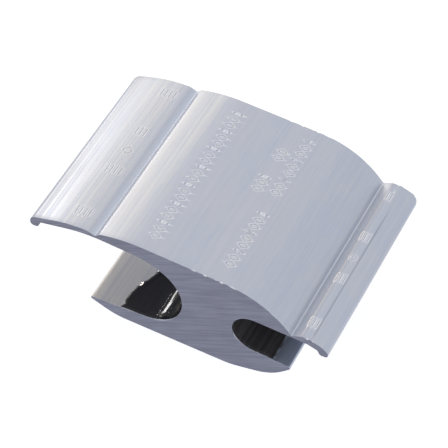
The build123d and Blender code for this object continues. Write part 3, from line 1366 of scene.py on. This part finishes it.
            # Painted highlight on the facet's slope.
            sloping = (plane > 0.0) * (plane < facet.top - facet.rim)
            grit_and_highlight = np.maximum(grit_and_highlight, facet.painted_highlight * near * sloping)
        thin = (0.25 + 0.75 * drawn) * (1.0 - crest) * ease(streaks, -0.4, 0.8)
        return height, {"thin": np.maximum(thin, self.paleness), "drawn": drawn, "grit_and_highlight": grit_and_highlight}

    def build(self) -> bpy.types.Object:
        """Build the coat as a closed skin: its face over the wall and a back buried in it.

        The back lies a little deeper in the metal than the bare stretches of the face, and
        the rim joins them.

        Returns:
            The coat's object.
        """
        points, normals, s = self.wall()
        y = np.linspace(-self.half_length, self.half_length, int(2 * self.half_length / self.row) + 1)
        height, marks = self.heights(points, s, y)
        back = np.full(height.shape, -2.0 * self.buried)
        skin = lifted(
            np.concatenate([points, points[::-1]]),
            np.concatenate([normals, normals[::-1]]),
            y[:, None],
            np.concatenate([height, back], axis=1),
        )
        coat = grid_object(self.name, skin, closed_u=True, caps=True)
        for name, values in marks.items():
            set_point_values(coat, name, np.concatenate([values, np.zeros_like(back)], axis=1))
        return coat


# ------------------------------------------------------------------------------ the studio


@dataclass(frozen=True)
class Lamp:
    """One soft rectangular light, aimed at the connector."""

    name: str
    azimuth: float
    elevation: float
    distance: float
    size: tuple[float, float]
    power: float
    colour: tuple[float, float, float] = (1.0, 1.0, 1.0)

    def place(self, aim: Vector) -> None:
        """Put the light round the aim point; azimuth 0 is towards -Y, and 90 towards +X."""
        data = bpy.data.lights.new(self.name, "AREA")
        data.shape = "RECTANGLE"
        data.size, data.size_y = self.size
        data.energy = self.power
        data.color = self.colour
        lamp = bpy.data.objects.new(self.name, data)
        back = direction(self.azimuth, self.elevation)
        lamp.location = aim + back * self.distance
        lamp.rotation_mode = "QUATERNION"
        lamp.rotation_quaternion = (-back).to_track_quat("-Z", "Y")
        bpy.context.scene.collection.objects.link(lamp)


def direction(azimuth: float, elevation: float) -> Vector:
    """Unit vector from the object towards a viewer at an azimuth and elevation in degrees."""
    a, e = math.radians(azimuth), math.radians(elevation)
    return Vector((math.sin(a) * math.cos(e), -math.cos(a) * math.cos(e), math.sin(e)))


@dataclass
class Studio:
    """Pale floor, soft lights and the camera."""

    aim: Vector
    azimuth: float = 24.444
    elevation: float = 50.623
    roll: float = 2.920
    distance: float = 545.36 * MM
    lens: float = 160.2
    floor_size: float = 6.0
    floor_glow: float = 0.72
    sky_light: float = 0.45
    lamps: tuple[Lamp, ...] = (
        Lamp(
            "key_softbox",
            azimuth=229.0,
            elevation=28.0,
            distance=0.8,
            size=(0.50, 0.50),
            power=0.58,
            colour=(1.0, 0.82, 0.52),
        ),
        Lamp(
            "key_strip",
            azimuth=237.0,
            elevation=16.6,
            distance=0.8,
            size=(0.055, 0.045),
            power=0.26,
            colour=(1.0, 0.93, 0.84),
        ),
    )

    def camera(self) -> None:
        """Aim the camera with a small roll, and make it the scene's camera."""
        data = bpy.data.cameras.new("camera")
        data.lens = self.lens
        data.sensor_width = 36.0
        data.clip_start, data.clip_end = 0.01, 20.0
        camera = bpy.data.objects.new("camera", data)
        back = direction(self.azimuth, self.elevation)
        level = (-back).to_track_quat("-Z", "Y").to_matrix()
        rolled = level @ Matrix.Rotation(math.radians(self.roll), 3, "Z")
        camera.matrix_world = Matrix.Translation(self.aim + back * self.distance) @ rolled.to_4x4()
        bpy.context.scene.collection.objects.link(camera)
        bpy.context.scene.camera = camera

    def floor(self) -> None:
        """Lay the floor: white to the eye and in reflections, matt and pale to light."""
        half = self.floor_size / 2.0
        plan = np.array([[[x, y, 0.0] for x in (-half, half)] for y in (-half, half)])
        floor = grid_object("floor", plan, closed_u=False, caps=False)
        material, sheet, shader = new_material("pale_floor")
        sheet.put(shader.inputs["Base Color"], Tone.STAGE)
        shader.inputs["Roughness"].default_value = 0.9
        shader.inputs["Specular IOR Level"].default_value = 0.0
        glow = sheet.add("ShaderNodeEmission")
        glow.inputs["Color"].default_value = (1.0, 1.0, 1.0, 1.0)
        sheet.put(glow.inputs["Strength"], sheet.times(sheet.seen(), self.floor_glow))
        both = sheet.add("ShaderNodeAddShader")
        sheet.put(both.inputs[0], shader.outputs[0])
        sheet.put(both.inputs[1], glow.outputs[0])
        output = material.node_tree.nodes["Material Output"]
        sheet.put(output.inputs["Surface"], both.outputs[0])
        floor.data.materials.append(material)

    def world(self) -> None:
        """Soft white surroundings: full white where seen or mirrored, dimmer as a light."""
        world = bpy.data.worlds.new("surroundings")
        world.use_nodes = True
        bpy.context.scene.world = world
        sheet = NodeSheet(world.node_tree)
        background = world.node_tree.nodes["Background"]
        background.inputs["Color"].default_value = (1.0, 1.0, 1.0, 1.0)
        sheet.put(background.inputs["Strength"], sheet.remap(sheet.seen(), 0.0, 1.0, self.sky_light))

    def build(self) -> None:
        """Build the whole studio."""
        self.camera()
        self.floor()
        self.world()
        for lamp in self.lamps:
            lamp.place(self.aim)
        bpy.context.scene.view_settings.view_transform = "Standard"


# ------------------------------------------------------------------------------ the connector


@dataclass
class TapConnector:
    """The whole connector: the body and the two coats of compound."""

    frame: dict
    main_marks_x: float = -30.7 * MM
    tap_marks_x: float = 37.3 * MM
    score_x: float = 39.2 * MM
    main_roof_run: float = 5.6 * MM
    main_jaw_excess: float = 0.2 * MM
    tap_jaw_excess: float = 1.6 * MM
    tap_roof_lack: float = 1.2 * MM

    def mount(self, name: str) -> dict:
        """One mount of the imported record, by name."""
        return next(m for m in self.frame["record"]["mounts"] if m["name"] == name)

    def build(self) -> None:
        """Build and dress the body and both coats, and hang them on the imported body."""
        solid = self.frame["nodes"]["clamp_body"]
        outline = Outline.of_solid(solid)
        low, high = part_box("clamp_body")
        effects = Effects()
        body_plan = ClampBody(
            outline=outline,
            half_length=(high.y - low.y) / 2.0,
            tabs=(
                Tab(self.main_marks_x, (4, 3, 4, 4), Mark.LOZENGE, middle_size=2.7 * MM, shine=0.25),
                Tab(
                    self.tap_marks_x,
                    (2, 3, 3, 3),
                    Mark.RING,
                    middle_size=1.8 * MM,
                    shine=0.6,
                    pitch=1.1 * MM,
                ),
            ),
            rows=(
                StampRow(-9.2 * MM, -24.0 * MM, 24.6 * MM),
                StampRow(7.2 * MM, 3.4 * MM, 8.0 * MM),
                StampRow(7.4 * MM, 15.8 * MM, 18.2 * MM),
                StampRow(12.3 * MM, -23.0 * MM, -4.0 * MM),
                StampRow(12.3 * MM, 4.4 * MM, 25.0 * MM),
            ),
            score_x=self.score_x,
        )
        body = body_plan.build()
        body_plan.dress(body, ExtrudedAluminium().make(effects), SawnAluminium().make(effects))
        self.hang(body, "clamp_body")

        compound = JointingCompound().make(effects)
        for coat_plan in (self.main_coat(outline), self.tap_coat(outline)):
            coat = coat_plan.build()
            coat.data.materials.append(compound)
            self.hang(coat, coat_plan.name.removesuffix("_coat"))

    def main_coat(self, outline: Outline) -> CompoundCoat:
        """Coat of the main groove, from its roof round to the jaw's face."""
        low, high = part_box("main_groove_compound")
        axis_x = self.mount("main_groove")["pos_m"][0]
        return CompoundCoat(
            name="main_groove_compound_coat",
            outline=outline,
            start=(axis_x + self.main_roof_run, high.z),
            end=(low.x - self.main_jaw_excess, low.z),
            half_length=(high.y - low.y) / 2.0,
            seed=SEED + 10,
            edges=(
                (-1.0, 0.2 * MM), (-0.95, 0.8 * MM), (-0.88, 0.1 * MM), (-0.8, 0.3 * MM), (-0.69, 1.2 * MM),
                (-0.55, 3.0 * MM), (-0.45, 3.5 * MM), (0.1, 3.9 * MM), (0.6, 1.4 * MM), (1.0, 1.0 * MM),
            ),
            drops=(
                Drop(-19.9 * MM, 0.4),
                Drop(-13.8 * MM, 0.4),
                Drop(-3.0 * MM, 0.5),
                Drop(17.0 * MM, 0.6),
            ),
            facets=(Facet(-19.9 * MM, 1.1 * MM), Facet(-13.6 * MM, 0.8 * MM)),
            grits=(
                GritStreak(-6.2 * MM, 6.0 * MM, -28.8 * MM, -20.0 * MM, 0.42 * MM),
                GritStreak(-3.4 * MM, 7.4 * MM, -27.5 * MM, -24.5 * MM, 0.2 * MM),
            ),
            drawn_from=(-5.3 * MM, 6.4 * MM),
        )

    def tap_coat(self, outline: Outline) -> CompoundCoat:
        """Coat of the tap groove, from the jaw's face round to its roof."""
        low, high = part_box("tap_groove_compound")
        return CompoundCoat(
            name="tap_groove_compound_coat",
            outline=outline,
            start=(high.x + self.tap_jaw_excess, low.z),
            end=(high.x - self.tap_roof_lack, high.z),
            half_length=(high.y - low.y) / 2.0,
            seed=SEED + 30,
            thickness=0.42 * MM,
            paleness=1.7,
            wander=0.22 * MM,
        )

    def hang(self, piece: bpy.types.Object, node: str) -> None:
        """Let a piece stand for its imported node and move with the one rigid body.

        Args:
            piece: The dressed piece.
            node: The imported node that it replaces.
        """
        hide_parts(node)
        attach(piece, "root")
        LOG.info("%s stands for %s, %d faces", piece.name, node, len(piece.data.polygons))


def main() -> None:
    """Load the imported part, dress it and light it."""
    logging.basicConfig(level=logging.INFO, format="%(name)s: %(message)s")
    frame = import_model()
    TapConnector(frame).build()
    Studio(aim=Vector((-0.66 * MM, 0.22 * MM, 17.49 * MM))).build()


if __name__ == "__main__":
    main()
